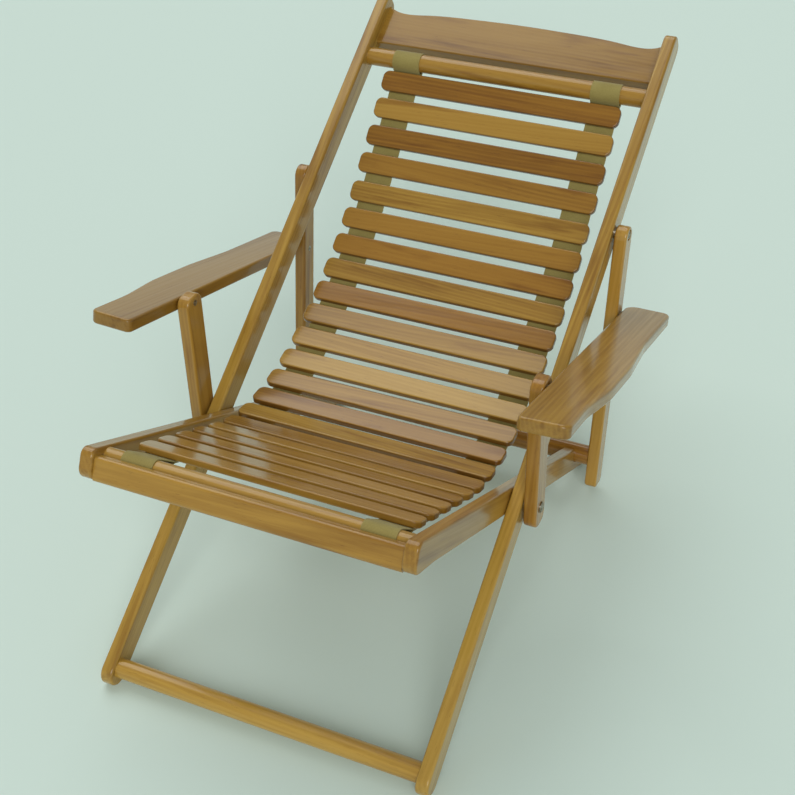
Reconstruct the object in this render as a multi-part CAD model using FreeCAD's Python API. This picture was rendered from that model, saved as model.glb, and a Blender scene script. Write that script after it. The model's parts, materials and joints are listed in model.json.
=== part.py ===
import FreeCAD, Part
import math
import os

V = FreeCAD.Vector
os.makedirs("parts", exist_ok=True)

# Steamer deck chair, drawn in its opened resting state, in millimetres.
# +X is the sitter's left, +Y points to the back, +Z is up.
# The origin lies on the floor, in the middle of the outline.

# Layout.
# Angles are seen from the side and measured from the horizontal.
recline = 30.82        # back frame, rising to the rear
seat_slope = 29.57     # seat frame, rising to the front
prop_lean = 9.71       # rear legs, leaning forward at the foot
arm_slope = 17.91      # armrests, falling to the rear

# Distances between pivots. Two neighbouring links add up to the
# same length as the other two, so the linkage folds flat.
foot_to_seat_pivot = 411.3
seat_to_leg_pivot = 451.0
leg_to_arm_pivot = 135.0
arm_pivot_span = 373.4

# Timber.
rail_thick = 20.0
back_deep = 41.0
seat_deep = 40.0
leg_deep = 35.0
post_deep = 40.0
arris = 3.5            # rounding of the long rail edges
fine_arris = 2.0

# Stack of timbers on each side, counted outward from the middle.
seat_inner = 221.5
seat_back_gap = 0.6
washer_gap = 2.5
arm_gap = 1.5
seat_outer = seat_inner + rail_thick
back_inner = seat_outer + seat_back_gap
back_outer = back_inner + rail_thick
leg_inner = back_outer + washer_gap
leg_outer = leg_inner + rail_thick
arm_inner = leg_outer + arm_gap

# Back frame.
foot_round = back_deep / 2.0
foot_flat_cut = 2.0
back_above_leg_pivot = 357.7
head_round = 15.0
crest_above_pivot = 721.7
crest_height = 75.0
crest_dip_height = 64.5
crest_middle_height = 74.0
crest_thick = 20.0
# Height of the crest along its half width, as a share of the rise
# from the dip to the middle, and from the dip to the end.
crest_middle_curve = [(0.0, 1.0), (0.37, 0.83), (0.70, 0.34), (0.86, 0.0)]
crest_end_curve = [(0.94, 0.28), (1.0, 1.0)]
sling_bar_above_pivot = 692.0
sling_bar_dia = 30.0
foot_bar_below_pivot = 404.5
foot_bar_offset = 1.5
foot_bar_dia = 30.0

# Seat frame.
seat_front = 383.0
seat_belly = 5.0
seat_belly_run = 70.0
seat_belly_round = 60.0
seat_low_round = 16.0
seat_top_round = 12.0
seat_foot_cut = 1.5
apron_front = 377.0
apron_thick = 16.0
apron_top = 10.0
apron_low = -25.0
apron_low_round = 7.0
apron_front_round = 5.0
apron_rear_round = 3.0
front_bar_ahead = 345.0
front_bar_height = 5.0
front_bar_dia = 26.0
notch_pitch = 43.0
notch_count = 2
notch_clear = 0.4
notch_ramp = 19.0
notch_ramp_run = 75.0

# Prop legs.
leg_above_pivot = 13.0
leg_below_pivot = 456.0
leg_foot_round = 11.0
prop_bar_below_pivot = 403.5
prop_bar_dia = 33.0

# Arms.
post_below_pivot = 33.0
post_low_round = 17.0
post_above_arm_pivot = 11.5
post_top_round = 15.0
arm_ahead_of_post = 139.0
arm_behind_leg = 40.0
arm_thick = 20.0
arm_top = 6.0
arm_end_width = 70.0
arm_waist_width = 69.0
arm_belly_width = 79.0
arm_rear_width = 71.0
arm_front_skew = 6.0
arm_waist_at = 90.0
arm_belly_start = 175.0
arm_belly_end = 280.0
arm_rear_start = 385.0
arm_curve_round = 250.0
arm_inner_round = 9.0
arm_outer_round = 12.0
arm_rear_round = 20.0
arm_round = 4.0

# Sling.
slat_side_gap = 13.0
slat_wide = 35.0
slat_thick = 10.0
slat_round = 2.5
slat_corner = 11.0
slat_count = 21
slats_on_back = 11
slats_between = 4
tape_thick = 2.0
tape_wide = 48.0
tape_left_inset = 14.5
tape_right_inset = 7.0
loop_clear = 0.15
seam_ahead = 2.0
seam_lap = 3.0

# First slat, seen from the head bar: distance toward the foot and below it.
first_slat_ahead = 35.8
first_slat_drop = 10.7
# Length of the sling from the first slat to the last, as a share of the
# straight distance between its two bars.
sling_slack = 1.0318

# Course of the sling from the first slat down to the front:
# length of each run in slat pitches, and the slope at its end in degrees.
sling_first_slope = 44.6
# Small shifts of the slats toward the front, as they were tacked by hand.
slat_shift = [0.5, 1.5, 3.4, 5.4, 9.1, 10.0, 11.0, 10.5, 8.5, 6.0, 6.0,
              6.0, 5.0, 4.0, 3.0, 2.0, 1.0, 0.0, 0.0, 0.0, 0.0]
sling_runs = [(4.26, 43.6), (2.77, 30.6), (3.20, 19.6), (1.70, 7.7),
              (1.70, -5.4), (1.28, -18.5), (0.85, -seat_slope)]

# Fittings.
bolt_dia = 8.0
bolt_clear = 0.05
head_dia = 17.0
head_high = 4.0
head_rim = 1.0
head_sink = 3.2
head_room = 0.5
nut_dia = 15.0
nut_high = 5.5
nut_washer = 1.2
thread_end = 1.5
side_clear = 0.3
collar_dia = 18.0
screw_dia = 5.0
screw_head_dia = 9.0
screw_head_rim = 0.8
screw_grip = 16.0
drive_dia = 2.2
drive_deep = 1.2
through = 5.0
leg_bolt_cover = 4.0


# Helpers.
def rad(angle):
    return angle * math.pi / 180.0


def rounded_wire(corners):
    """Closed outline from (x, y, z, radius) corners lying in one plane."""
    count = len(corners)
    starts = []
    ends = []
    middles = []
    for i in range(count):
        here = V(*corners[i][:3])
        before = V(*corners[i - 1][:3]) - here
        after = V(*corners[(i + 1) % count][:3]) - here
        radius = corners[i][3]
        before.normalize()
        after.normalize()
        half = before.getAngle(after) / 2.0
        if radius < 1e-6:
            starts.append(here)
            ends.append(here)
            middles.append(None)
            continue
        setback = radius / math.tan(half)
        starts.append(here + before * setback)
        ends.append(here + after * setback)
        bisector = before + after
        bisector.normalize()
        middles.append(here + bisector * (radius / math.sin(half) - radius))
    edges = []
    for i in range(count):
        if middles[i] is not None:
            edges.append(Part.Arc(starts[i], middles[i], ends[i]).toShape())
        step = starts[(i + 1) % count]
        if (step - ends[i]).Length > 1e-4:
            edges.append(Part.LineSegment(ends[i], step).toShape())
    return Part.Wire(edges)


def side_plate(corners, x0, x1):
    """Plate across X from a side outline of (along, across, radius)."""
    wire = rounded_wire([(x0, u, v, r) for u, v, r in corners])
    return Part.Face(wire).extrude(V(x1 - x0, 0, 0))


def soften(shape, x0, x1, radius):
    """Round the edges of the two faces at x0 and x1."""
    picked = []
    for edge in shape.Edges:
        xs = [p.X for p in edge.Vertexes]
        for face_x in (x0, x1):
            if max(abs(x - face_x) for x in xs) < 1e-4:
                picked.append(edge)
    return shape.makeFillet(radius, picked)


def bar(dia, x0, x1, along, across):
    return Part.makeCylinder(dia / 2.0, x1 - x0, V(x0, along, across), V(1, 0, 0))


def place(shape, frame):
    """Turn a shape from its frame's own axes into the chair's axes."""
    moved = shape.copy()
    moved.rotate(V(0, 0, 0), V(1, 0, 0), frame[2])
    moved.translate(V(0, frame[0], frame[1]))
    return moved


def point(frame, along, across):
    turn = rad(frame[2])
    y = frame[0] + along * math.cos(turn) - across * math.sin(turn)
    z = frame[1] + along * math.sin(turn) + across * math.cos(turn)
    return y, z


def local(frame, y, z):
    turn = rad(frame[2])
    dy = y - frame[0]
    dz = z - frame[1]
    along = dy * math.cos(turn) + dz * math.sin(turn)
    across = dz * math.cos(turn) - dy * math.sin(turn)
    return along, across


def mirror(shape):
    return shape.mirror(V(0, 0, 0), V(1, 0, 0))


def export(shape, name):
    solids = shape.Solids
    if len(solids) == 1:
        shape = solids[0]
    shape.exportStep("parts/" + name + ".step")


def export_pair(shape, name):
    """Export a piece drawn on the +X side, and its mirror image."""
    export(shape, name + "_right")
    export(mirror(shape), name + "_left")


# Frames.
# Each frame is (y, z, angle): its first axis runs along the timber.
foot_centre_z = foot_round - foot_flat_cut
head_along = foot_to_seat_pivot + seat_to_leg_pivot + back_above_leg_pivot
head_y = (head_along - head_round) * math.cos(rad(recline))
head_y = head_y + (foot_round - head_round) * math.sin(rad(recline)) + head_round
foot_y = -(head_y - foot_round) / 2.0
foot_frame = (foot_y, foot_centre_z, recline)
seat_pivot = point(foot_frame, foot_to_seat_pivot, 0)
back_frame = (seat_pivot[0], seat_pivot[1], recline)
seat_frame = (seat_pivot[0], seat_pivot[1], -seat_slope)
leg_pivot = point(back_frame, seat_to_leg_pivot, 0)
leg_frame = (leg_pivot[0], leg_pivot[1], -90.0 - prop_lean)
arm_pivot = point(leg_frame, leg_to_arm_pivot, 0)
arm_frame = (arm_pivot[0], arm_pivot[1], -arm_slope)
post_pivot = point(arm_frame, -arm_pivot_span, 0)
post_turn = math.atan2(post_pivot[1] - seat_pivot[1], post_pivot[0] - seat_pivot[0])
post_frame = (seat_pivot[0], seat_pivot[1], post_turn * 180.0 / math.pi)
post_reach = math.hypot(post_pivot[0] - seat_pivot[0], post_pivot[1] - seat_pivot[1])
prop_bar_centre = point(leg_frame, prop_bar_below_pivot, 0)
notch_home = local(seat_frame, prop_bar_centre[0], prop_bar_centre[1])
seat_foot_drop = seat_pivot[1] + seat_foot_cut - seat_deep / 2.0
seat_rear = seat_foot_drop / math.sin(rad(seat_slope)) + seat_deep / 2.0

# Half-space under the floor, larger than the chair.
room = 3.0 * seat_to_leg_pivot
floor_block = Part.makeBox(2 * room, 2 * room, room, V(-room, -room, -room))
slat_half_length = seat_inner - slat_side_gap
head_centre = point(back_frame, sling_bar_above_pivot, 0)
front_centre = point(seat_frame, -front_bar_ahead, front_bar_height)
sling_start = point(back_frame, sling_bar_above_pivot - first_slat_ahead, -first_slat_drop)
sling_chord = math.hypot(head_centre[0] - front_centre[0], head_centre[1] - front_centre[1])
slat_pitch = sling_slack * sling_chord / (slat_count - 1)


# Bores.
def bore(shape, dia, x0, x1, along, across):
    return shape.cut(bar(dia, x0, x1, along, across))


bore_dia = bolt_dia + 2.0 * bolt_clear
screw_bore = screw_dia + 2.0 * bolt_clear


# Back rails.
back_half = back_deep / 2.0
back_top = seat_to_leg_pivot + back_above_leg_pivot
back_bottom = -foot_to_seat_pivot - foot_round
rail = side_plate([(back_bottom, -back_half, foot_round - 0.01),
                   (back_top, -back_half, head_round),
                   (back_top, back_half, head_round),
                   (back_bottom, back_half, foot_round - 0.01)],
                  back_inner, back_outer)
rail = soften(rail, back_inner, back_outer, arris)
rail = bore(rail, bolt_dia, back_inner - through, back_outer + through, 0, 0)
rail = bore(rail, bolt_dia, back_inner + leg_bolt_cover, back_outer + through, seat_to_leg_pivot, 0)
rail = place(rail, back_frame).cut(floor_block)
export_pair(rail, "back_rail")

# Crest rail between the back rails: flat board with a shaped top.
crest_ends = crest_above_pivot + crest_height
crest_dips = crest_above_pivot + crest_dip_height
crest_peak = crest_above_pivot + crest_middle_height
crest_curve = []
for share, rise in crest_middle_curve:
    crest_curve.append((share, crest_dips + rise * (crest_peak - crest_dips)))
for share, rise in crest_end_curve:
    crest_curve.append((share, crest_dips + rise * (crest_ends - crest_dips)))
crest_points = []
for share, height in reversed(crest_curve[1:]):
    crest_points.append(V(-share * back_inner, height, 0))
for share, height in crest_curve:
    crest_points.append(V(share * back_inner, height, 0))
crest_top = Part.BSplineCurve()
crest_top.interpolate(crest_points)
crest_edges = [crest_top.toShape()]
crest_low_right = V(back_inner, crest_above_pivot, 0)
crest_low_left = V(-back_inner, crest_above_pivot, 0)
crest_edges.append(Part.LineSegment(crest_points[-1], crest_low_right).toShape())
crest_edges.append(Part.LineSegment(crest_low_right, crest_low_left).toShape())
crest_edges.append(Part.LineSegment(crest_low_left, crest_points[0]).toShape())
crest = Part.Face(Part.Wire(crest_edges)).extrude(V(0, 0, crest_thick))
crest_edge_pick = []
for edge in crest.Edges:
    box = edge.BoundBox
    if box.XLength > back_inner and box.ZLength < 0.1:
        crest_edge_pick.append(edge)
crest = crest.makeFillet(fine_arris, crest_edge_pick)
crest.translate(V(0, 0, -back_half))
export(place(crest, back_frame), "crest_rail")

sling_bar = bar(sling_bar_dia, -back_inner, back_inner, sling_bar_above_pivot, 0)
export(place(sling_bar, back_frame), "head_sling_bar")
foot_bar = bar(foot_bar_dia, -back_inner, back_inner, -foot_bar_below_pivot, foot_bar_offset)
export(place(foot_bar, back_frame), "foot_bar")

# Seat rails.
seat_half = seat_deep / 2.0
rail = side_plate([(-seat_front, -seat_half - seat_belly, seat_low_round),
                   (-seat_front + seat_belly_run, -seat_half, seat_belly_round),
                   (seat_rear, -seat_half, seat_half - 0.01),
                   (seat_rear, seat_half, seat_half - 0.01),
                   (-seat_front, seat_half, seat_top_round)],
                  seat_inner, seat_outer)
rail = soften(rail, seat_inner, seat_outer, arris)
rail = bore(rail, bore_dia, seat_inner - through, seat_outer + through, 0, 0)
notch_r = prop_bar_dia / 2.0 + notch_clear
for step in range(notch_count):
    at = notch_home[0] + step * notch_pitch
    deep = notch_home[1]
    ramp_s = at + notch_r * math.sin(rad(notch_ramp))
    ramp_t = deep - notch_r * math.cos(rad(notch_ramp))
    run = notch_ramp_run
    pocket = side_plate([(at - notch_r, deep, 0),
                         (ramp_s, ramp_t, 0),
                         (ramp_s + run, ramp_t + run * math.tan(rad(notch_ramp)), 0),
                         (ramp_s + run, deep + seat_deep, 0),
                         (at - notch_r, deep + seat_deep, 0)],
                        seat_inner - through, seat_outer + through)
    rail = rail.cut(pocket.fuse(bar(notch_r * 2, seat_inner - through, seat_outer + through, at, deep)))
rail = place(rail, seat_frame).cut(floor_block)
export_pair(rail, "seat_rail")

apron = side_plate([(-apron_front, apron_low, apron_low_round),
                    (-apron_front, apron_top, apron_front_round),
                    (-apron_front + apron_thick, apron_top, apron_rear_round),
                    (-apron_front + apron_thick, apron_low, apron_low_round)],
                   -seat_inner, seat_inner)
export(place(apron, seat_frame), "seat_apron")
front_bar = bar(front_bar_dia, -seat_inner, seat_inner, -front_bar_ahead, front_bar_height)
export(place(front_bar, seat_frame), "front_sling_bar")

# Rear legs.
leg_half = leg_deep / 2.0
leg = side_plate([(-leg_above_pivot, -leg_half, leg_half - 0.01),
                  (leg_below_pivot, -leg_half, leg_foot_round),
                  (leg_below_pivot, leg_half, leg_foot_round),
                  (-leg_above_pivot, leg_half, leg_half - 0.01)],
                 leg_inner, leg_outer)
leg = soften(leg, leg_inner, leg_outer, arris)
leg = bore(leg, bore_dia, leg_inner - through, leg_outer + through, 0, 0)
leg = bore(leg, screw_dia, leg_inner - through, leg_outer + through, leg_to_arm_pivot, 0)
cone_high = (screw_head_dia - screw_dia) / 2.0
cone = Part.makeCone(screw_head_dia / 2.0, screw_dia / 2.0, cone_high,
                     V(leg_inner, leg_to_arm_pivot, 0), V(1, 0, 0))
leg = leg.cut(cone)
leg = bore(leg, head_dia + 2 * head_room, leg_outer - head_sink, leg_outer + through, 0, 0)
export_pair(place(leg, leg_frame), "rear_leg")
prop_bar = bar(prop_bar_dia, -leg_inner, leg_inner, prop_bar_below_pivot, 0)
export(place(prop_bar, leg_frame), "prop_bar")

# Arm posts.
post_half = post_deep / 2.0
post_top = post_reach + post_above_arm_pivot
post = side_plate([(-post_below_pivot, -post_half, post_low_round),
                   (post_top, -post_half, post_top_round),
                   (post_top, post_half, post_top_round),
                   (-post_below_pivot, post_half, post_low_round)],
                  leg_inner, leg_outer)
post = soften(post, leg_inner, leg_outer, arris)
post = bore(post, bore_dia, leg_inner - through, leg_outer + through, 0, 0)
post = bore(post, screw_dia, leg_inner - through, leg_outer + through, post_reach, 0)
export_pair(place(post, post_frame), "arm_post")

# Armrests.
arm_front = -arm_pivot_span - arm_ahead_of_post
arm_rear = arm_behind_leg
arm_edge = arm_inner + arm_end_width
arm_belly = arm_inner + arm_belly_width
arm_low = arm_top - arm_thick
arm_waist = arm_inner + arm_waist_width
arm_back_edge = arm_inner + arm_rear_width
arm_corners = [(arm_inner, arm_front, arm_low, arm_inner_round),
               (arm_edge, arm_front + arm_front_skew, arm_low, arm_outer_round),
               (arm_waist, arm_front + arm_waist_at, arm_low, arm_curve_round),
               (arm_belly, arm_front + arm_belly_start, arm_low, arm_curve_round),
               (arm_belly, arm_front + arm_belly_end, arm_low, arm_curve_round),
               (arm_back_edge, arm_front + arm_rear_start, arm_low, arm_curve_round),
               (arm_back_edge, arm_rear, arm_low, arm_outer_round),
               (arm_inner, arm_rear, arm_low, arm_rear_round)]
arm = Part.Face(rounded_wire(arm_corners)).extrude(V(0, 0, arm_thick))
arm_edges = []
for edge in arm.Edges:
    if edge.BoundBox.ZLength < 0.01:
        arm_edges.append(edge)
arm = arm.makeFillet(arm_round, arm_edges)
arm = bore(arm, screw_bore, arm_inner - through, arm_inner + screw_grip + thread_end, 0, 0)
export_pair(place(arm, arm_frame), "armrest")


# Fittings.
def dome(x, dia, high, outward):
    """Low domed head standing on the plane x, facing outward."""
    cap_r = (dia * dia / 4.0 + high * high) / (2.0 * high)
    ball = Part.makeSphere(cap_r, V(x + outward * (high - cap_r), 0, 0))
    cut = Part.makeBox(high, dia + 2, dia + 2, V(min(x, x + outward * high),
                                                 -dia / 2.0 - 1, -dia / 2.0 - 1))
    return ball.common(cut)


def rod(dia, x0, x1):
    return Part.makeCylinder(dia / 2.0, x1 - x0, V(x0, 0, 0), V(1, 0, 0))


def hexagon(dia, x0, x1):
    corners = []
    for step in range(6):
        turn = rad(60.0 * step)
        corners.append((x0, dia / 2.0 * math.cos(turn), dia / 2.0 * math.sin(turn), 0))
    return Part.Face(rounded_wire(corners)).extrude(V(x1 - x0, 0, 0))


def bolt(end_x, sink):
    """Bolt held by the back rail, from its head to end_x, with its spacer."""
    head_x = leg_outer + side_clear - sink
    shape = rod(bolt_dia, end_x, head_x + head_rim)
    shape = shape.fuse(rod(head_dia, head_x, head_x + head_rim))
    shape = shape.fuse(dome(head_x + head_rim, head_dia - head_rim, head_high - head_rim, 1))
    return shape.fuse(rod(collar_dia, back_outer, leg_inner - side_clear))


# Seat bolts go right through and have a nut, leg bolts end in the back rail.
nut_x = seat_inner - side_clear
hex_x = nut_x - nut_washer
seat_bolt = bolt(hex_x - nut_high - thread_end, 0.0)
seat_bolt = seat_bolt.fuse(rod(collar_dia, hex_x, nut_x))
seat_bolt = seat_bolt.fuse(hexagon(nut_dia, hex_x - nut_high, hex_x))
export_pair(place(seat_bolt.removeSplitter(), back_frame), "seat_bolt")
leg_bolt = bolt(back_inner + leg_bolt_cover, head_sink)
leg_bolt_frame = (leg_pivot[0], leg_pivot[1], recline)
export_pair(place(leg_bolt.removeSplitter(), leg_bolt_frame), "leg_bolt")

arm_screw = rod(screw_dia, leg_inner, arm_inner + screw_grip)
arm_screw = arm_screw.fuse(Part.makeCone(screw_head_dia / 2.0, screw_dia / 2.0, cone_high,
                                         V(leg_inner, 0, 0), V(1, 0, 0)))
arm_screw = arm_screw.cut(rod(drive_dia, leg_inner - through, leg_inner + drive_deep))
export_pair(place(arm_screw.removeSplitter(), arm_frame), "arm_screw")

rim_x = leg_inner - screw_head_rim
post_screw = rod(screw_dia, rim_x, arm_inner - side_clear)
post_screw = post_screw.fuse(rod(screw_head_dia, rim_x, leg_inner))
post_screw = post_screw.fuse(dome(rim_x, screw_head_dia - screw_head_rim, screw_head_rim, -1))
post_screw_frame = (post_pivot[0], post_pivot[1], 0.0)
export_pair(place(post_screw.removeSplitter(), post_screw_frame), "post_screw")


# Sling.
def sling_point(length):
    """Middle of the sling (y, z, slope) at a length from the first slat."""
    y, z = sling_start
    slope = sling_first_slope
    left = length
    for pitches, end_slope in sling_runs:
        run = pitches * slat_pitch
        part = min(run, left)
        pieces = 20
        for i in range(pieces):
            here = slope + (end_slope - slope) * (part / run) * (i + 0.5) / pieces
            y = y - part / pieces * math.cos(rad(here))
            z = z - part / pieces * math.sin(rad(here))
        left = left - part
        if left < 1e-9:
            return y, z, slope + (end_slope - slope) * part / run
        slope = end_slope
    y = y - left * math.cos(rad(slope))
    z = z - left * math.sin(rad(slope))
    return y, z, slope


def slat():
    half = slat_wide / 2.0
    wire = rounded_wire([(-slat_half_length, -half, 0, slat_corner),
                         (slat_half_length, -half, 0, slat_corner),
                         (slat_half_length, half, 0, slat_corner),
                         (-slat_half_length, half, 0, slat_corner)])
    board = Part.Face(wire).extrude(V(0, 0, slat_thick))
    flat = []
    for edge in board.Edges:
        if edge.BoundBox.ZLength < 0.01:
            flat.append(edge)
    board = board.makeFillet(slat_round, flat)
    board.translate(V(0, 0, -slat_thick / 2.0))
    return board


def slat_frame(number):
    return sling_point(number * slat_pitch + slat_shift[number])


slat_shape = slat()
for number in range(slat_count):
    export(place(slat_shape, slat_frame(number)), "slat_%02d" % (number + 1))


def tape_outline(first, last, start_over, end_over):
    """Side outline of the tape: flat under each slat from first to last."""
    half = slat_wide / 2.0
    upper = []
    lower = []
    for number in range(first, last + 1):
        frame = slat_frame(number)
        begin = half + (start_over if number == first else 0.0)
        finish = half + (end_over if number == last else 0.0)
        for along in (begin, -finish):
            upper.append(point(frame, along, -slat_thick / 2.0))
            lower.append(point(frame, along, -slat_thick / 2.0 - tape_thick))
    return upper + list(reversed(lower))


def tape_bridge(before, after, start_over, end_over):
    """Side outline of the tape in the gap between two slats."""
    half = slat_wide / 2.0
    outline = []
    for low in (slat_thick / 2.0, slat_thick / 2.0 + tape_thick):
        first = point(slat_frame(before), -half - start_over, -low)
        second = point(slat_frame(after), half + end_over, -low)
        outline.append([first, second])
    return outline[0] + list(reversed(outline[1]))


def tape_solid(outline, middle):
    x0 = middle - tape_wide / 2.0
    points = [V(x0, y, z) for y, z in outline]
    points.append(points[0])
    return Part.Face(Part.makePolygon(points)).extrude(V(tape_wide, 0, 0))


def tape_loop(centre, dia, seam, middle):
    """Closed loop round a sling bar, both plies meeting at the seam."""
    x0 = middle - tape_wide / 2.0
    inner = dia / 2.0 + loop_clear
    away = math.hypot(centre[0] - seam[0], centre[1] - seam[1])
    toward = math.atan2(centre[1] - seam[1], centre[0] - seam[0])
    layers = []
    for radius, reach in ((inner + tape_thick, away), (inner, away - seam_lap)):
        swing = math.acos(radius / reach)
        points = [V(x0, centre[0] - reach * math.cos(toward),
                    centre[1] - reach * math.sin(toward))]
        for turn in (toward + math.pi - swing, toward, toward + math.pi + swing):
            points.append(V(x0, centre[0] + radius * math.cos(turn),
                            centre[1] + radius * math.sin(turn)))
        edges = [Part.LineSegment(points[0], points[1]).toShape(),
                 Part.Arc(points[1], points[2], points[3]).toShape(),
                 Part.LineSegment(points[3], points[0]).toShape()]
        layers.append(Part.Face(Part.Wire(edges)).extrude(V(tape_wide, 0, 0)))
    return layers[0].cut(layers[1])


between_end = slats_on_back + slats_between
slat_last = slat_count - 1
half_slat = slat_wide / 2.0
tape_level = -(slat_thick + tape_thick) / 2.0
tape_half = tape_wide / 2.0
tape_left = -(slat_half_length - tape_left_inset - tape_half)
tape_right = slat_half_length - tape_right_inset - tape_half

for side, middle in (("left", tape_left), ("right", tape_right)):
    # Upper tape: loop on the head bar and the run under the back slats.
    seam = point(slat_frame(0), half_slat + seam_ahead, tape_level)
    run = tape_outline(0, slats_on_back - 1, seam_lap, side_clear)
    loop = tape_loop(head_centre, sling_bar_dia, seam, middle)
    upper = tape_solid(run, middle).fuse(loop)
    export(upper.removeSplitter(), "back_tape_" + side)
    # Middle tape: carries the slats between the frames.
    start = tape_bridge(slats_on_back - 1, slats_on_back, side_clear, 0.0)
    finish = tape_bridge(between_end - 1, between_end, 0.0, 2 * side_clear)
    middle_run = tape_outline(slats_on_back, between_end - 1, 0.0, 0.0)
    band = tape_solid(start, middle).fuse(tape_solid(middle_run, middle))
    band = band.fuse(tape_solid(finish, middle))
    export(band.removeSplitter(), "middle_tape_" + side)
    # Lower tape: run under the seat slats and the loop on the front bar.
    seam = point(slat_frame(slat_last), -half_slat - seam_ahead, tape_level)
    run = tape_outline(between_end, slat_last, side_clear, seam_lap)
    loop = tape_loop(front_centre, front_bar_dia, seam, middle)
    lower = tape_solid(run, middle).fuse(loop)
    export(lower.removeSplitter(), "seat_tape_" + side)
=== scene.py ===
"""Steamer deck chair: varnish on the timber, sling tapes, small fittings and stage."""

import json
import math

import bpy
from bpy.props import FloatProperty, FloatVectorProperty, IntProperty
from mathutils import Matrix, Vector

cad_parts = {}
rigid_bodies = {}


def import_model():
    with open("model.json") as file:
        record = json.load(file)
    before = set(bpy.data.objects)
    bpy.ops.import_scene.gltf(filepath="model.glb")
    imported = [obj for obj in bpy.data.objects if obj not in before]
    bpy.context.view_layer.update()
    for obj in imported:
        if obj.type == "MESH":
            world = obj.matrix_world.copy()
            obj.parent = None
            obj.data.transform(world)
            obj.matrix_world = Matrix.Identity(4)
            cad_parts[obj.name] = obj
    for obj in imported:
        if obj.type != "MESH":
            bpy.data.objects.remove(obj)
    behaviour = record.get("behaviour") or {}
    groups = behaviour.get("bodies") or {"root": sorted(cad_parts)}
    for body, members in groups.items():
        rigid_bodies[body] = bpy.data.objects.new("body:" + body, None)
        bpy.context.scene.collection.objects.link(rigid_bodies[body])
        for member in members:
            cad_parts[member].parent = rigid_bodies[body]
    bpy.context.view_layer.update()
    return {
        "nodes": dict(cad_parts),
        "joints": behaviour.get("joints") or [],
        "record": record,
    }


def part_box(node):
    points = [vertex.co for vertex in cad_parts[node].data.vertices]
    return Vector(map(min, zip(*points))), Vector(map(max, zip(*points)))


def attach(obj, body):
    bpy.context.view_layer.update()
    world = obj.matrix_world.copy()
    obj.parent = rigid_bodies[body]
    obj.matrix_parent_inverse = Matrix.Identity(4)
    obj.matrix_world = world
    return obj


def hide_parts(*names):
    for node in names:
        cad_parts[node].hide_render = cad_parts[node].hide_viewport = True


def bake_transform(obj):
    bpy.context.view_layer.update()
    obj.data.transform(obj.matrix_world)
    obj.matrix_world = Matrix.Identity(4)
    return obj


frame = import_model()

bl_info = {
    "name": "Steamer Deck Chair",
    "version": (1, 0, 0),
    "blender": (4, 5, 0),
    "location": "View3D > Sidebar > Deck Chair",
    "description": "Finishes a folding deck chair and adds its sling tapes and fittings",
    "category": "Object",
}

# Slopes of the timbers seen from the side, in degrees from the horizontal.
RECLINE = 30.82
SEAT_SLOPE = -29.57
LEG_SLOPE = -99.71
ARM_SLOPE = -17.91
POST_SLOPE = 87.51

# Timbers of the frames: node, slope, whether the grain runs across the chair, tone from 0 for
# dark to 1 for pale, redness, and the seed that sets where its figure is cut from. The tones
# hold the wood's own stain and also painted light on the front timbers that catch the front lamp.
TIMBERS = [
    ("back_rail_left", RECLINE, False, 0.66, 0.05, 1.0),
    ("back_rail_right", RECLINE, False, 0.78, 0.10, 2.3),
    ("seat_rail_left", SEAT_SLOPE, False, 0.44, 0.50, 3.1),
    ("seat_rail_right", SEAT_SLOPE, False, 0.46, 0.45, 4.7),
    ("rear_leg_left", LEG_SLOPE, False, 0.64, 0.70, 5.2),
    ("rear_leg_right", LEG_SLOPE, False, 0.72, 0.65, 6.4),
    ("arm_post_left", POST_SLOPE, False, 0.66, 0.60, 7.9),
    ("arm_post_right", POST_SLOPE, False, 0.44, 0.95, 8.6),
    ("armrest_left", ARM_SLOPE, False, 0.30, 0.10, 9.4),
    ("armrest_right", ARM_SLOPE, False, 0.56, 0.20, 10.8),
    ("crest_rail", RECLINE, True, 0.22, 0.00, 11.5),
    ("head_sling_bar", RECLINE, True, 0.50, 0.45, 12.2),
    # Painted light: the foot bar's palest tone stands in for the front light that it catches.
    ("foot_bar", RECLINE, True, 1.00, 0.40, 13.6),
    ("seat_apron", SEAT_SLOPE, True, 0.76, 0.60, 14.9),
    ("front_sling_bar", SEAT_SLOPE, True, 0.60, 0.30, 15.3),
    ("prop_bar", LEG_SLOPE, True, 0.30, 0.90, 16.7),
]

# Stain and redness of each slat from the head down, then the first slat's seed and the step to
# the next.
SLAT_TONES = [(0.19, 0.85), (0.53, 0.35), (0.12, 0.60), (0.26, 0.50), (0.62, 0.10),
              (0.33, 0.55), (0.19, 0.65), (0.52, 0.15), (0.21, 0.70), (0.53, 0.10),
              (0.62, 0.15), (0.69, 0.10), (0.53, 0.30), (0.21, 0.40), (0.53, 0.10),
              (0.45, 0.40), (0.52, 0.45), (0.41, 0.40), (0.45, 0.50), (0.36, 0.40),
              (0.45, 0.45)]
FIRST_SLAT_SEED = 20.0
SLAT_SEED_STEP = 1.7

# How dark the painted shade on the thin edges of a board is, from 0 to 1.
ARMREST_EDGE_SHADE = 0.3
BACK_SLAT_EDGE_SHADE = 0.80
SEAT_SLAT_EDGE_SHADE = 0.15

# Fineness of each figure in x, y and z. On a timber x runs along the grain, on a tape across its
# width and y along it, and on steel x runs along the bolt.
RING_WANDER = (1.6, 9.0, 9.0)
STREAKS = (2.2, 150.0, 150.0)
BROAD_BANDS = (1.3, 16.0, 16.0)
FLAMES = (5.0, 46.0, 46.0)
PORES = (42.0, 950.0, 950.0)
DENTS = (14.0, 60.0, 60.0)
FIBRES = (900.0, 260.0, 1.0)
TAPE_WEAR = (30.0, 30.0, 30.0)
STEEL_WEAR = (260.0, 260.0, 260.0)
TURNING_MARKS = (2600.0, 240.0, 240.0)

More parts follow.
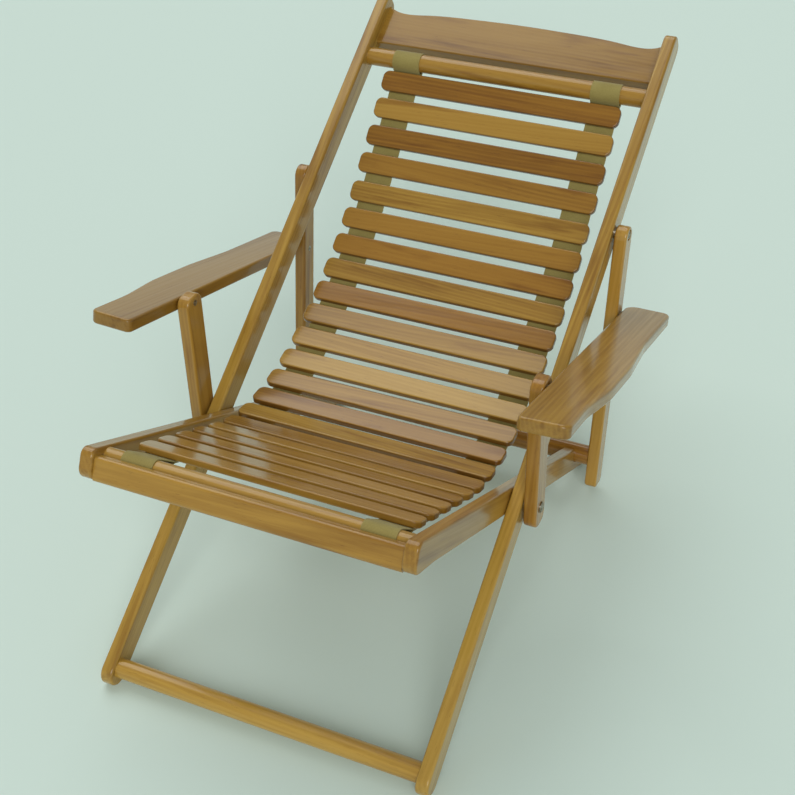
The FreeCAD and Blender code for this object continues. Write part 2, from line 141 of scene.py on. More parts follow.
# Share of each figure in the timber's colour, and of the reddest stain in the redness.
RING_SHARE = 0.16
STREAK_SHARE = 0.30
BROAD_SHARE = 0.56
RED_SHARE = 0.45

# How strongly flames and pores darken the timber, and how streaks and pores shape its relief.
FLAME_DEPTH = 0.85
PORE_DEPTH = 0.55
STREAK_RELIEF = 0.35
PORE_RELIEF = -0.5

# Share of the weave and of the fibres in the tape's shade and relief.
WEAVE_SHARE = 0.45
FIBRE_SHARE = 0.55

# Where a timber is cut from its tree: metres that one step of the seed moves it along and across
# the grain, metres from the heart, and radians by which the grain is tilted.
SEED_STRIDE = (1.37, 0.113)
HEART_OFFSET = (0.045, 0.031)
HEART_SWAY = 0.017
SWAY_PER_SEED = 2.1
GRAIN_TILT = (0.035, 0.05)

# How far the rings wander, in radians of their phase, and how sharp they are.
RING_WANDER_DEPTH = 26.0
RING_SHARPNESS = 1.6

# Pitch of the tape's lengthwise threads as a share of its ribs' pitch, and how they waver.
WARP_RATIO = 0.8
THREAD_WAVER = 0.25

# Radians of phase in a metre of a wave texture of scale 1, and sockets of a colour Mix node.
WAVE_PHASE = 20.0
COLOUR_MIX_INPUTS = (0, 6, 7)
COLOUR_MIX_RESULT = 2

# Tints that a colour is multiplied by.
PALE_WOOD = (1.16, 1.22, 1.45)
DARK_WOOD = (0.66, 0.58, 0.46)
FLAME_TINT = (0.62, 0.50, 0.36)
PORE_TINT = (0.42, 0.34, 0.28)
# Painted shade for the thin edges of boards:
EDGE_SHADE_TINT = (0.36, 0.24, 0.15)
THREAD_SHADE = (0.62, 0.62, 0.62)
THREAD_LIGHT = (1.35, 1.35, 1.35)
WORN_TAPE = (0.80, 0.78, 0.66)
STAINED_STEEL = (0.50, 0.42, 0.32)

# Small sizes of the tapes and tacks, in metres.
UNDER_SLAT_GAP = 0.0001
ROUND_BAR_GAP = 0.0002
SEAM_REACH = 0.002
TAPE_SAG = 0.0006
TACK_THICK = 0.0012
TACK_ROUNDING = 0.0003
TACK_DROP = 0.0003

# Meshes of the tapes and tacks: steps over a gap, points under a slat as shares of its width.
GAP_STEPS = 4
JOINT_GAP_STEPS = 8
POINTS_UNDER_SLAT = (0.5, 0.17, -0.17, -0.5)
SAME_PLACE = 1e-5
SMOOTH_ANGLE = math.radians(40)
TACK_SIDES = 12
TACK_TAPER = 0.62

# Lamps: name, the setting that holds its light, width in degrees, and where it shines from.
LAMPS = [
    ("key_lamp", "key_strength", 50.0, Vector((-0.39, 0.41, 0.83))),
    ("fill_lamp", "fill_strength", 36.0, Vector((0.34, -0.74, 0.59))),
]
LAMP_DISTANCE = 3.0

# The room's light goes from the wall's to the ceiling's between two heights on a unit sphere.
ROOM_COLOUR = (0.91, 0.99, 0.95, 1.0)
WALL_TOP = 0.05
CEILING_EDGE = 0.55

# Camera at the photograph's viewing angle: place in metres, directions, and field in degrees.
CAMERA_PLACE = (0.7227, -1.5327, 1.5737)
CAMERA_RIGHT = Vector((0.9127, 0.4070, -0.0357))
CAMERA_BACK = Vector((0.3390, -0.7057, 0.6222))
CAMERA_FIELD = 32.577
SENSOR_WIDTH = 36.0

SIDES = ("left", "right")
PARTS_OF_BODY = frame["record"]["behaviour"]["bodies"]
BODY_OF_PART = {part: body for body, parts in PARTS_OF_BODY.items() for part in parts}
JOINTED_BODIES = {frozenset((joint["parent"], joint["child"])) for joint in frame["joints"]}


# Sizes and colours that a user may change.
class DECKCHAIR_PG_sling(bpy.types.PropertyGroup):
    tape_thick: FloatProperty(
        name="Tape thickness", description="Thickness of the woven tape",
        default=0.0016, min=0.0005, max=0.002, subtype="DISTANCE", unit="LENGTH")
    lap_length: FloatProperty(
        name="Sewn lap", description="Length of the tape that is turned back and sewn",
        default=0.030, min=0.01, max=0.04, subtype="DISTANCE", unit="LENGTH")
    turn_steps: IntProperty(
        name="Turn steps", description="Folds of the tape's mesh round a bar",
        default=18, min=8, max=48)
    tack_head: FloatProperty(
        name="Tack head", description="Diameter of the tacks that hold the slats",
        default=0.0052, min=0.003, max=0.01, subtype="DISTANCE", unit="LENGTH")
    tack_spread: FloatProperty(
        name="Tack spread", description="Distance between the two tacks of a crossing",
        default=0.026, min=0.01, max=0.04, subtype="DISTANCE", unit="LENGTH")
    weave_pitch: FloatProperty(
        name="Weave pitch", description="Distance between two ribs of the weave",
        default=0.0016, min=0.0008, max=0.004, subtype="DISTANCE", unit="LENGTH")
    tape_colour: FloatVectorProperty(
        name="Tape colour", description="Colour of the woven tape",
        default=(0.345, 0.278, 0.090), size=3, min=0.0, max=1.0, subtype="COLOR")


class DECKCHAIR_PG_timber(bpy.types.PropertyGroup):
    pale: FloatVectorProperty(
        name="Pale stain", description="Colour of the palest timber",
        default=(0.500, 0.305, 0.055), size=3, min=0.0, max=1.0, subtype="COLOR")
    deep: FloatVectorProperty(
        name="Deep stain", description="Colour of the darkest timber",
        default=(0.215, 0.100, 0.008), size=3, min=0.0, max=1.0, subtype="COLOR")
    red: FloatVectorProperty(
        name="Red stain", description="Colour of the reddest timber",
        default=(0.360, 0.138, 0.012), size=3, min=0.0, max=1.0, subtype="COLOR")
    varnish_rough: FloatProperty(
        name="Varnish roughness", description="Roughness of the clear varnish",
        default=0.15, min=0.0, max=1.0, subtype="FACTOR")
    varnish_ior: FloatProperty(
        name="Varnish index", description="Refractive index of the clear varnish",
        default=1.44, min=1.3, max=2.0)
    ring_pitch: FloatProperty(
        name="Ring pitch", description="Distance between two growth rings",
        default=0.0065, min=0.002, max=0.02, subtype="DISTANCE", unit="LENGTH")


class DECKCHAIR_PG_metal(bpy.types.PropertyGroup):
    steel: FloatVectorProperty(
        name="Steel colour", description="Colour of the bolts and screws",
        default=(0.36, 0.33, 0.27), size=3, min=0.0, max=1.0, subtype="COLOR")


class DECKCHAIR_PG_stage(bpy.types.PropertyGroup):
    floor_size: FloatProperty(
        name="Floor size", description="Side of the square floor",
        default=36.0, min=4.0, max=80.0, subtype="DISTANCE", unit="LENGTH")
    floor_colour: FloatVectorProperty(
        name="Floor colour", description="Colour of the plain floor",
        default=(0.64, 0.765, 0.70), size=3, min=0.0, max=1.0, subtype="COLOR")
    key_strength: FloatProperty(
        name="Key light",
        description="Light of the wide soft lamp above, in watts per square metre",
        default=1.2, min=0.0, max=10.0)
    fill_strength: FloatProperty(
        name="Fill light",
        description="Light of the soft lamp in front, in watts per square metre",
        default=1.45, min=0.0, max=10.0)
    wall_light: FloatProperty(
        name="Wall light", description="Strength of the room's light near the horizon",
        default=0.60, min=0.0, max=3.0)
    ceiling_light: FloatProperty(
        name="Ceiling light", description="Strength of the room's light overhead",
        default=0.31, min=0.0, max=3.0)


# Helpers for selecting, placing and joining.
def deselect_all():
    for other in bpy.context.selected_objects:
        other.select_set(False)


def activate(piece):
    deselect_all()
    piece.select_set(True)
    bpy.context.view_layer.objects.active = piece


def settle(piece):
    """Put the object at the origin, with its place in its mesh."""
    activate(piece)
    bpy.ops.object.transform_apply(location=True, rotation=True, scale=True)


def apply_modifier(piece, kind, **settings):
    activate(piece)
    modifier = piece.modifiers.new(kind.title(), kind)
    for key, value in settings.items():
        setattr(modifier, key, value)
    bpy.ops.object.modifier_apply(modifier=modifier.name)


def dress(piece, material):
    piece.data.materials.clear()
    piece.data.materials.append(material)


def select_where(piece, test):
    """In edit mode, select the vertices that pass the test, and what they span."""
    bpy.ops.mesh.select_all(action="DESELECT")
    bpy.ops.object.mode_set(mode="OBJECT")
    for vertex in piece.data.vertices:
        vertex.select = test(vertex.co)
    for edge in piece.data.edges:
        edge.select = all(piece.data.vertices[i].select for i in edge.vertices)
    for face in piece.data.polygons:
        face.select = all(piece.data.vertices[i].select for i in face.vertices)
    bpy.ops.object.mode_set(mode="EDIT")


def join(pieces, name):
    deselect_all()
    for piece in pieces:
        piece.select_set(True)
    bpy.context.view_layer.objects.active = pieces[0]
    bpy.ops.object.join()
    joined = bpy.context.view_layer.objects.active
    joined.name = name
    joined.data.name = name
    return joined


def mixed(first, second, share):
    return tuple(a + (b - a) * share for a, b in zip(first, second))


# Materials.
def tinted(colour, tint):
    return tuple(min(1.0, c * k) for c, k in zip(colour, tint))


def new_material(name):
    material = bpy.data.materials.new(name)
    material.use_nodes = True
    return material, material.node_tree, material.node_tree.nodes["Principled BSDF"]


def set_inputs(node, values):
    for socket, value in values.items():
        node.inputs[socket].default_value = value


def math_node(tree, operation, first, second=None):
    node = tree.nodes.new("ShaderNodeMath")
    node.operation = operation
    for socket, value in zip(node.inputs, (first, second)):
        if value is None:
            continue
        if isinstance(value, (int, float)):
            socket.default_value = value
        else:
            tree.links.new(value, socket)
    return node.outputs[0]


def weighted_sum(tree, *layers):
    """Sum of patterns, each given with the number that it is multiplied by."""
    parts = [math_node(tree, "MULTIPLY", pattern, weight) for pattern, weight in layers]
    total = parts[0]
    for part in parts[1:]:
        total = math_node(tree, "ADD", total, part)
    return total


def scaled_noise(tree, vector, scale, detail, rough=0.5):
    """Noise on a vector that is stretched by a scale of three numbers."""
    stretch = tree.nodes.new("ShaderNodeMapping")
    set_inputs(stretch, {"Scale": scale})
    tree.links.new(vector, stretch.inputs["Vector"])
    noise = tree.nodes.new("ShaderNodeTexNoise")
    set_inputs(noise, {"Scale": 1.0, "Detail": detail, "Roughness": rough})
    tree.links.new(stretch.outputs["Vector"], noise.inputs["Vector"])
    return noise.outputs["Fac"]


def wave(tree, vector, kind, direction, pitch, distortion=0.0):
    """Wave texture in rings or bands that repeats after a pitch."""
    texture = tree.nodes.new("ShaderNodeTexWave")
    texture.wave_type = kind
    if kind == "RINGS":
        texture.rings_direction = direction
    else:
        texture.bands_direction = direction
    set_inputs(texture, {"Scale": math.tau / (WAVE_PHASE * pitch), "Distortion": distortion})
    tree.links.new(vector, texture.inputs["Vector"])
    return texture


def remap(tree, value, low, high, to_low=0.0, to_high=1.0):
    """Smooth step of a value from one range to another."""
    node = tree.nodes.new("ShaderNodeMapRange")
    node.interpolation_type = "SMOOTHSTEP"
    set_inputs(node, {"From Min": low, "From Max": high, "To Min": to_low, "To Max": to_high})
    tree.links.new(value, node.inputs["Value"])
    return node.outputs["Result"]


def colour_mix(tree, blend, factor, first, second):
    node = tree.nodes.new("ShaderNodeMix")
    node.data_type = "RGBA"
    node.blend_type = blend
    for index, value in zip(COLOUR_MIX_INPUTS, (factor, first, second)):
        if isinstance(value, float):
            node.inputs[index].default_value = value
        elif isinstance(value, tuple):
            node.inputs[index].default_value = (*value, 1.0)
        else:
            tree.links.new(value, node.inputs[index])
    return node.outputs[COLOUR_MIX_RESULT]


def relief(tree, height, strength, distance):
    """Normal of a surface whose fine relief follows a height."""
    bump = tree.nodes.new("ShaderNodeBump")
    set_inputs(bump, {"Strength": strength, "Distance": distance})
    tree.links.new(height, bump.inputs["Height"])
    return bump.outputs["Normal"]


def edge_share(tree, normal, slope):
    """1 on the thin edges of a board that lies at a slope, 0 on its broad faces."""
    turn = math.radians(slope)
    facing = tree.nodes.new("ShaderNodeVectorMath")
    facing.operation = "DOT_PRODUCT"
    facing.inputs[1].default_value = (0.0, -math.sin(turn), math.cos(turn))
    tree.links.new(normal, facing.inputs[0])
    broad = math_node(tree, "ABSOLUTE", facing.outputs["Value"])
    return remap(tree, broad, low=0.35, high=0.9, to_low=1.0, to_high=0.0)


def grain_vector(tree, position, slope, across_chair, seed):
    """A position turned so that x runs along the grain, and moved by the timber's seed."""
    turn = tree.nodes.new("ShaderNodeMapping")
    set_inputs(turn, {"Rotation": (math.radians(-slope), 0.0, 0.0)})
    tree.links.new(position, turn.inputs["Vector"])
    split = tree.nodes.new("ShaderNodeSeparateXYZ")
    tree.links.new(turn.outputs["Vector"], split.inputs["Vector"])
    gather = tree.nodes.new("ShaderNodeCombineXYZ")
    order = (0, 1, 2) if across_chair else (1, 0, 2)
    for source, target in enumerate(order):
        tree.links.new(split.outputs[source], gather.inputs[target])
    shift = tree.nodes.new("ShaderNodeMapping")
    set_inputs(shift, {
        "Location": (seed * SEED_STRIDE[0],
                     seed * SEED_STRIDE[1] + HEART_OFFSET[0],
                     HEART_OFFSET[1] + HEART_SWAY * math.sin(seed * SWAY_PER_SEED)),
        "Rotation": (0.0, GRAIN_TILT[0] * math.sin(seed), GRAIN_TILT[1] * math.cos(seed)),
    })
    tree.links.new(gather.outputs["Vector"], shift.inputs["Vector"])
    return shift.outputs["Vector"]


def growth_rings(tree, grain):
    """Rings round the heart of the tree that wander along the grain."""
    rings = wave(tree, grain, "RINGS", "X", bpy.context.scene.deck_timber.ring_pitch)
    bend = scaled_noise(tree, grain, RING_WANDER, detail=2.0)
    phase = math_node(tree, "MULTIPLY", bend, RING_WANDER_DEPTH)
    tree.links.new(phase, rings.inputs["Phase Offset"])
    return math_node(tree, "POWER", rings.outputs["Fac"], RING_SHARPNESS)


def stain_ramp(tree, figure, stain):
    """Colour from dark wood over the plain stain to pale wood, as the figure rises."""
    ramp = tree.nodes.new("ShaderNodeValToRGB")
    stops = ramp.color_ramp.elements
    stops[0].position = 0.05
    stops[0].color = (*tinted(stain, DARK_WOOD), 1.0)
    stops[1].position = 0.98
    stops[1].color = (*tinted(stain, PALE_WOOD), 1.0)
    middle = stops.new(0.5)
    middle.color = (*stain, 1.0)
    tree.links.new(figure, ramp.inputs["Fac"])
    return ramp.outputs["Color"]


def varnished_timber(name, slope, across_chair, tone, redness, seed, edge_shade):
    """Stained hardwood under clear varnish, its grain along the timber, with painted shade
    darkening its thin edges where asked.
    """
    look = bpy.context.scene.deck_timber
    stain = mixed(mixed(look.deep, look.pale, tone), look.red, redness * RED_SHARE)
    material, tree, shader = new_material(name)
    place = tree.nodes.new("ShaderNodeTexCoord")
    grain = grain_vector(tree, place.outputs["Object"], slope, across_chair, seed)
    streak = scaled_noise(tree, grain, STREAKS, detail=4.0, rough=0.62)
    broad = scaled_noise(tree, grain, BROAD_BANDS, detail=2.0)
    flame = scaled_noise(tree, grain, FLAMES, detail=3.0, rough=0.55)
    pore = scaled_noise(tree, grain, PORES, detail=2.0, rough=0.6)
    open_pore = remap(tree, pore, low=0.36, high=0.27)

    figure = weighted_sum(tree, (growth_rings(tree, grain), RING_SHARE),
                          (remap(tree, streak, low=0.30, high=0.72), STREAK_SHARE),
                          (remap(tree, broad, low=0.28, high=0.72), BROAD_SHARE))
    flamed = remap(tree, flame, low=0.54, high=0.76, to_high=FLAME_DEPTH)
    colour = colour_mix(tree, "MULTIPLY", flamed, stain_ramp(tree, figure, stain), FLAME_TINT)
    pored = math_node(tree, "MULTIPLY", open_pore, PORE_DEPTH)
    colour = colour_mix(tree, "MULTIPLY", pored, colour, PORE_TINT)
    # Painted shade: the board's thin edges, the faces that neither face up nor down, are darkened
    # as if in shade.
    if edge_shade:
        edge = edge_share(tree, place.outputs["Normal"], slope)
        shaded_edge = math_node(tree, "MULTIPLY", edge, edge_shade)
        colour = colour_mix(tree, "MULTIPLY", shaded_edge, colour, EDGE_SHADE_TINT)
    tree.links.new(colour, shader.inputs["Base Color"])
    tree.links.new(remap(tree, streak, low=0.25, high=0.75, to_low=0.50, to_high=0.34),
                   shader.inputs["Roughness"])

    furrows = weighted_sum(tree, (streak, STREAK_RELIEF), (open_pore, PORE_RELIEF))
    tree.links.new(relief(tree, furrows, strength=0.35, distance=0.0004),
                   shader.inputs["Normal"])
    dents = scaled_noise(tree, grain, DENTS, detail=2.0)
    tree.links.new(relief(tree, dents, strength=0.25, distance=0.0006),
                   shader.inputs["Coat Normal"])
    set_inputs(shader, {"Specular IOR Level": 0.1, "Coat Weight": 1.0,
                        "Coat Roughness": look.varnish_rough, "Coat IOR": look.varnish_ior})
    return material


def woven_tape(name):
    """Ribbed cotton tape, woven along its own UV map in metres."""
    look = bpy.context.scene.deck_sling
    material, tree, shader = new_material(name)
    place = tree.nodes.new("ShaderNodeTexCoord")
    surface = place.outputs["UV"]
    warp = wave(tree, surface, "BANDS", "X", look.weave_pitch * WARP_RATIO, THREAD_WAVER)
    weft = wave(tree, surface, "BANDS", "Y", look.weave_pitch, THREAD_WAVER)
    weave = math_node(tree, "MULTIPLY", warp.outputs["Fac"], weft.outputs["Fac"])
    fibre = scaled_noise(tree, surface, FIBRES, detail=3.0, rough=0.6)
    patch = scaled_noise(tree, place.outputs["Object"], TAPE_WEAR, detail=3.0)
    shade = weighted_sum(tree, (weave, WEAVE_SHARE), (fibre, FIBRE_SHARE))
    base = colour_mix(tree, "MIX", shade, tinted(look.tape_colour, THREAD_SHADE),
                      tinted(look.tape_colour, THREAD_LIGHT))
    worn = colour_mix(tree, "MULTIPLY", remap(tree, patch, low=0.35, high=0.75, to_high=0.5),
                      base, WORN_TAPE)
    tree.links.new(worn, shader.inputs["Base Color"])
    tree.links.new(remap(tree, fibre, low=0.2, high=0.8, to_low=0.96, to_high=0.82),
                   shader.inputs["Roughness"])
    tree.links.new(relief(tree, shade, strength=0.7, distance=0.0005), shader.inputs["Normal"])
    set_inputs(shader, {"Specular IOR Level": 0.15, "Sheen Weight": 0.15,
                        "Sheen Roughness": 0.5})
    return material


def turned_steel(name):
    """Dull plated steel, with wear and faint turning marks."""
    steel = bpy.context.scene.deck_metal.steel
    material, tree, shader = new_material(name)
    place = tree.nodes.new("ShaderNodeTexCoord").outputs["Object"]
    wear = scaled_noise(tree, place, STEEL_WEAR, detail=4.0)
    marks = scaled_noise(tree, place, TURNING_MARKS, detail=2.0)
    base = colour_mix(tree, "MIX", remap(tree, wear, low=0.42, high=0.66),
                      tuple(steel), tinted(steel, STAINED_STEEL))
    tree.links.new(base, shader.inputs["Base Color"])
    tree.links.new(remap(tree, wear, low=0.35, high=0.7, to_low=0.28, to_high=0.52),
                   shader.inputs["Roughness"])
    tree.links.new(relief(tree, marks, strength=0.2, distance=0.0002), shader.inputs["Normal"])
    set_inputs(shader, {"Metallic": 1.0})
    return material


# Where the sling runs, in metres, as (y, z) seen from the side.
def slat_name(number):
    return "slat_%02d" % (number + 1)


def slat_slope(number):
    """Slope of a slat, in degrees, from the broadest face of its solid."""
    faces = frame["nodes"][slat_name(number)].data.polygons
    broad = max(faces, key=lambda face: face.area).normal
    side = math.copysign(1.0, broad.z)
    return math.degrees(math.atan2(-broad.y * side, broad.z * side))


def node_middle(name):
    low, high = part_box(name)
    return (low.y + high.y) / 2, (low.z + high.z) / 2


def beside_slat(number, along, across):
    """Point beside a slat's middle, along its slope and square to it."""
    y, z = node_middle(slat_name(number))
    turn = math.radians(slat_slope(number))
    return (y + along * math.cos(turn) - across * math.sin(turn),
            z + along * math.sin(turn) + across * math.cos(turn))


def slat_section():
    """Width and thickness of a slat, measured along and square to its slope."""
    turn = math.radians(slat_slope(0))
    corners = [vertex.co for vertex in frame["nodes"][slat_name(0)].data.vertices]
    along = [co.y * math.cos(turn) + co.z * math.sin(turn) for co in corners]
    across = [co.z * math.cos(turn) - co.y * math.sin(turn) for co in corners]
    return max(along) - min(along), max(across) - min(across)


SLAT_WIDE, SLAT_THICK = slat_section()
SLAT_HALF = SLAT_WIDE / 2


def level_under(ply=0):
    """Height of the tape's middle below a slat's middle; ply 1 is the sewn lap."""
    thick = bpy.context.scene.deck_sling.tape_thick
    return -(SLAT_THICK / 2 + thick * (0.5 + ply) + UNDER_SLAT_GAP)


def gap_line(before, after, steps):
    """Points of the tape between two slats, without the two ends, with a slight sag."""
    line = []
    for step in range(1, steps):
        share = step / steps
        y = before[0] + (after[0] - before[0]) * share
        z = before[1] + (after[1] - before[1]) * share
        line.append((y, z - TAPE_SAG * 4 * share * (1 - share)))
    return line


def gap_ends(number):
    """Points of the tape at the two sides of the gap that follows a slat."""
    level = level_under()
    return beside_slat(number, -SLAT_HALF, level), beside_slat(number + 1, SLAT_HALF, level)


def run_under(numbers):
    """Line of the tape under a row of slats."""
    line = []
    for number in numbers:
        if line:
            line += gap_line(*gap_ends(number - 1), GAP_STEPS)
        for along in POINTS_UNDER_SLAT:
            line.append(beside_slat(number, along * SLAT_WIDE, level_under()))
    return line


def turn_round(bar, seam, from_below):
    """Line of the tape from its seam round a bar and back to the seam."""
    sizes = bpy.context.scene.deck_sling
    low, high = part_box(bar)
    centre = node_middle(bar)
    radius = (high.z - low.z) / 2 + ROUND_BAR_GAP + sizes.tape_thick / 2
    toward = math.atan2(centre[1] - seam[1], centre[0] - seam[0])
    swing = math.acos(radius / math.dist(centre, seam))
    sweep = 2 * (math.pi - swing)
    first = toward + math.pi - swing
    direction = -1.0
    low_first = math.sin(first) < math.sin(first - sweep)
    if low_first != from_below:
        first = toward + math.pi + swing
        direction = 1.0
    line = []
    for step in range(sizes.turn_steps + 1):
        turn = first + direction * sweep * step / sizes.turn_steps
        line.append((centre[0] + radius * math.cos(turn), centre[1] + radius * math.sin(turn)))
    return line


def head_line(numbers):
    """Line of the tape from its lap round the head bar and down the back frame's slats."""
    first = numbers[0]
    lap, length = level_under(1), bpy.context.scene.deck_sling.lap_length
    seam = beside_slat(first, SLAT_HALF + SEAM_REACH, level_under())
    line = [beside_slat(first, SLAT_HALF - length, lap), beside_slat(first, SLAT_HALF, lap)]
    return line + turn_round("head_sling_bar", seam, True) + run_under(numbers)


def seat_line(numbers):
    """Line of the tape along the seat frame's slats, round the front bar and to its lap."""
    last = numbers[-1]
    lap, length = level_under(1), bpy.context.scene.deck_sling.lap_length
    seam = beside_slat(last, -SLAT_HALF - SEAM_REACH, level_under())
    line = run_under(numbers) + turn_round("front_sling_bar", seam, False)
    return line + [beside_slat(last, -SLAT_HALF, lap), beside_slat(last, -SLAT_HALF + length, lap)]


def gap_lengths(number, here, ahead):
    """Lengths of tape over the gap after a slat: one whole length where the two bodies are
    jointed, or halves where no joint is.
    """
    before, after = gap_ends(number)
    line = [before] + gap_line(before, after, JOINT_GAP_STEPS) + [after]
    cuts = [(0, JOINT_GAP_STEPS, here, (ahead, before, after))]
    if frozenset((here, ahead)) not in JOINTED_BODIES:
        half = JOINT_GAP_STEPS // 2
        cuts = [(0, half, here, None), (half, JOINT_GAP_STEPS, ahead, None)]
    return [("tape_gap_%02d_%d" % (number + 1, first), line[first:last + 1], "middle", body, bend)
            for first, last, body, bend in cuts]


def tape_lengths():
    """Lengths of a tape from the head down: name, line, which tape node, body and bend."""
    owner = [BODY_OF_PART[slat_name(number)] for number in range(len(SLAT_TONES))]
    upper = [number for number, body in enumerate(owner) if body == "back_frame"]
    lower = [number for number, body in enumerate(owner) if body == "seat_frame"]
    lengths = [("tape_head", head_line(upper), "back", "back_frame", None)]
    for number in range(upper[-1], lower[0]):
        ahead = number + 1
        lengths += gap_lengths(number, owner[number], owner[ahead])
        if ahead < lower[0]:
            lengths.append(("tape_under_%02d" % (ahead + 1), run_under([ahead]),
                            "middle", owner[ahead], None))
    lengths.append(("tape_seat", seat_line(lower), "seat", "seat_frame", None))
    return lengths


def tape_place(side):
    """Middle and width of a tape, across the chair."""
    low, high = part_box("back_tape_" + side)
    return (low.x + high.x) / 2, high.x - low.x


def strap(name, line, middle, width, start_length):
    """Woven strap extruded along a side-view line; returns it and its end length."""
    first, second = line[0], line[1]
    deselect_all()
    turn = math.atan2(second[1] - first[1], second[0] - first[0])
    bpy.ops.mesh.primitive_plane_add(
        size=1.0, rotation=(turn, 0.0, 0.0),
        location=(middle, (first[0] + second[0]) / 2, (first[1] + second[1]) / 2))
    piece = bpy.context.object
    piece.name = name
    piece.data.name = name
    piece.scale = (width, math.dist(first, second), 1.0)
    settle(piece)
    bpy.ops.object.mode_set(mode="EDIT")
    select_where(piece, lambda co: math.dist((co.y, co.z), second) < SAME_PLACE)
    for here, ahead in zip(line[1:], line[2:]):
        bpy.ops.mesh.extrude_region_move(
            TRANSFORM_OT_translate={"value": (0.0, ahead[0] - here[0], ahead[1] - here[1])})
    bpy.ops.object.mode_set(mode="OBJECT")
    lengths = [start_length]
    for here, ahead in zip(line, line[1:]):
        lengths.append(lengths[-1] + math.dist(here, ahead))
    weave = piece.data.uv_layers.get("UVMap") or piece.data.uv_layers.new(name="UVMap")
    for loop in piece.data.loops:
        co = piece.data.vertices[loop.vertex_index].co
        near = min(range(len(line)), key=lambda i: math.dist(line[i], (co.y, co.z)))
        weave.data[loop.index].uv = (co.x - middle, lengths[near])
    apply_modifier(piece, "SOLIDIFY", thickness=bpy.context.scene.deck_sling.tape_thick,
                   offset=0.0, use_even_offset=True)
    activate(piece)
    bpy.ops.object.shade_smooth_by_angle(angle=SMOOTH_ANGLE)
    return piece, lengths[-1]


def tack_model():
    """A tack's head: a low round disc, narrower below."""
    deselect_all()
    bpy.ops.mesh.primitive_cylinder_add(vertices=TACK_SIDES, depth=TACK_THICK,
                                        radius=bpy.context.scene.deck_sling.tack_head / 2)
    model = bpy.context.object
    bpy.ops.object.mode_set(mode="EDIT")
    select_where(model, lambda co: co.z < 0)
    bpy.ops.transform.resize(value=(TACK_TAPER, TACK_TAPER, 1.0))
    bpy.ops.object.mode_set(mode="OBJECT")
    apply_modifier(model, "BEVEL", width=TACK_ROUNDING, segments=2, limit_method="ANGLE")
    return model


# The stage.
def lay_floor(size, colour):
    deselect_all()
    bpy.ops.mesh.primitive_plane_add(size=size, location=(0.0, 0.0, 0.0))
    floor = bpy.context.object
    floor.name = "floor"
    material, tree, shader = new_material("pale_floor")
    set_inputs(shader, {"Base Color": (*colour, 1.0), "Roughness": 0.85,
                        "Specular IOR Level": 0.2})
    dress(floor, material)


def hang_lamps(look):
    for name, strength, width, toward in LAMPS:
        bpy.ops.object.light_add(type="SUN", location=toward * LAMP_DISTANCE)
        lamp = bpy.context.object
        lamp.name = name
        lamp.rotation_euler = toward.to_track_quat("Z", "Y").to_euler()
        lamp.data.energy = getattr(look, strength)
        lamp.data.angle = math.radians(width)


def light_room(wall_light, ceiling_light):
    """Light from all round that fades from the walls to the ceiling."""
    world = bpy.data.worlds.new("soft_room")
    bpy.context.scene.world = world
    world.use_nodes = True
    tree = world.node_tree
    way = tree.nodes.new("ShaderNodeTexCoord")
    split = tree.nodes.new("ShaderNodeSeparateXYZ")
    tree.links.new(way.outputs["Generated"], split.inputs["Vector"])
    strength = remap(tree, split.outputs["Z"], WALL_TOP, CEILING_EDGE, wall_light, ceiling_light)
    room = tree.nodes["Background"]
    set_inputs(room, {"Color": ROOM_COLOUR})
    tree.links.new(strength, room.inputs["Strength"])


def stand_camera():
    bpy.ops.object.camera_add(location=CAMERA_PLACE)
    camera = bpy.context.object
    camera.name = "photo_camera"
    axes = Matrix((CAMERA_RIGHT, CAMERA_BACK.cross(CAMERA_RIGHT), CAMERA_BACK))
    camera.rotation_euler = axes.transposed().to_euler()
    camera.data.sensor_width = SENSOR_WIDTH
    camera.data.lens = SENSOR_WIDTH / 2 / math.tan(math.radians(CAMERA_FIELD / 2))
    bpy.context.scene.camera = camera


# Operators, one for each piece or group of like pieces.
class DECKCHAIR_OT_varnish_frames(bpy.types.Operator):
    """Varnish the rails, legs, posts, armrests and cross bars"""

    bl_idname = "deckchair.varnish_frames"
    bl_label = "Varnish Frames"

    def execute(self, context):
        for node, slope, across, tone, redness, seed in TIMBERS:
            # Only the armrests get painted shade on their thin edges.
            edge_shade = ARMREST_EDGE_SHADE if "armrest" in node else 0.0
            dress(frame["nodes"][node], varnished_timber("varnished_" + node, slope, across, tone,
                                                         redness, seed, edge_shade))
        return {"FINISHED"}


class DECKCHAIR_OT_varnish_slats(bpy.types.Operator):
    """Varnish the sling's slats, each from its own piece of timber"""

    bl_idname = "deckchair.varnish_slats"
    bl_label = "Varnish Slats"

    def execute(self, context):
        for number, (tone, redness) in enumerate(SLAT_TONES):
            slat = slat_name(number)
            on_seat = BODY_OF_PART[slat] == "seat_frame"
            # The back slats get strong painted shade on their thin edges, the seat slats a little.
            edge_shade = SEAT_SLAT_EDGE_SHADE if on_seat else BACK_SLAT_EDGE_SHADE
            seed = FIRST_SLAT_SEED + number * SLAT_SEED_STEP
            dress(frame["nodes"][slat], varnished_timber("varnished_" + slat, slat_slope(number),
                                                         True, tone, redness, seed, edge_shade))
        return {"FINISHED"}


class DECKCHAIR_OT_add_tapes(bpy.types.Operator):
    """Weave the two tapes that carry the slats from bar to bar"""

    bl_idname = "deckchair.add_tapes"
    bl_label = "Add Tapes"

    def execute(self, context):
        webbing = woven_tape("khaki_webbing")
        lengths = tape_lengths()
        for side in SIDES:
            middle, width = tape_place(side)
            reached = 0.0
            for name, line, tape, body, bend in lengths:
                piece, reached = strap(name + "_" + side, line, middle, width, reached)
                dress(piece, webbing)
                if bend is None:
                    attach(piece, body)
                else:
                    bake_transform(piece)
                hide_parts(tape + "_tape_" + side)
        return {"FINISHED"}


